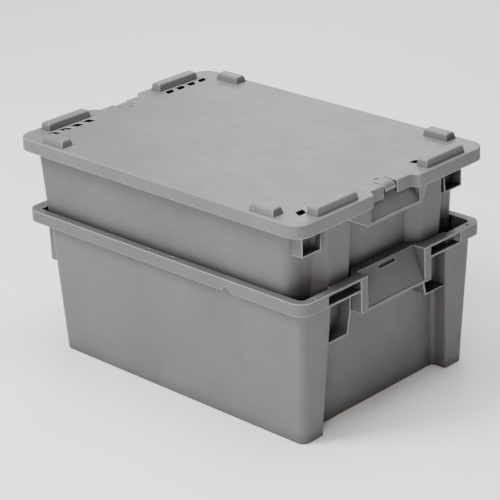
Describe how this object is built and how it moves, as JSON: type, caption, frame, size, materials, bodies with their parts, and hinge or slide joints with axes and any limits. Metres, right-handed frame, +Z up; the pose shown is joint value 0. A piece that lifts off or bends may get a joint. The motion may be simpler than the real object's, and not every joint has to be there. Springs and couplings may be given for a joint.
{
  "type": "stacking tote with lid",
  "caption": "Shallow stack-and-nest tote with a clip-on lid, standing half a turn round on a deeper tote; posts rest on shelves below the rim.",
  "frame": {"origin": "centre of the lower tote's base", "axes": "+X towards the short end with the lower tote's corner posts, +Z up"},
  "size_m": [0.616, 0.428, 0.38],
  "materials": {
    "tote_plastic": "fine moulded grain",
    "lid_plastic": "fine moulded grain"
  },
  "bodies": {
    "lower_tote": {"lower_floor": "tote_plastic", "lower_left_wall": "tote_plastic", "lower_right_wall": "tote_plastic", "lower_corner_post_end": "tote_plastic", "lower_inset_post_end": "tote_plastic", "lower_rim": "tote_plastic", "lower_wide_grip": "tote_plastic", "lower_narrow_grip": "tote_plastic", "lower_inner_pockets": "tote_plastic", "lower_corner_pockets": "tote_plastic"},
    "upper_tote": {"upper_floor": "tote_plastic", "upper_left_wall": "tote_plastic", "upper_right_wall": "tote_plastic", "upper_corner_post_end": "tote_plastic", "upper_inset_post_end": "tote_plastic", "upper_rim": "tote_plastic", "upper_wide_grip": "tote_plastic", "upper_narrow_grip": "tote_plastic", "upper_inner_pockets": "tote_plastic", "upper_corner_pockets": "tote_plastic"},
    "lid": {"lid_panel": "lid_plastic", "lid_end_rails": "lid_plastic", "lid_side_blocks": "lid_plastic"},
    "front_latch": {"lid_front_latch": "lid_plastic"},
    "back_latch": {"lid_back_latch": "lid_plastic"}
  },
  "joints": [
    {"name": "upper_tote_lift", "type": "slide", "parent": "lower_tote", "child": "upper_tote", "axis": [0, 0, 1], "range_m": [0, 0.15]},
    {"name": "lid_lift", "type": "slide", "parent": "upper_tote", "child": "lid", "axis": [0, 0, 1], "range_m": [0, 0.08]},
    {"name": "front_latch_bend", "type": "hinge", "parent": "lid", "child": "front_latch", "pos_m": [0.272, 0, 0.3665], "axis": [0, -1, 0], "range_deg": [0, 12], "stiffness_Nm_per_rad": 0.6},
    {"name": "back_latch_bend", "type": "hinge", "parent": "lid", "child": "back_latch", "pos_m": [-0.272, 0, 0.3665], "axis": [0, 1, 0], "range_deg": [0, 12], "stiffness_Nm_per_rad": 0.6}
  ]
}
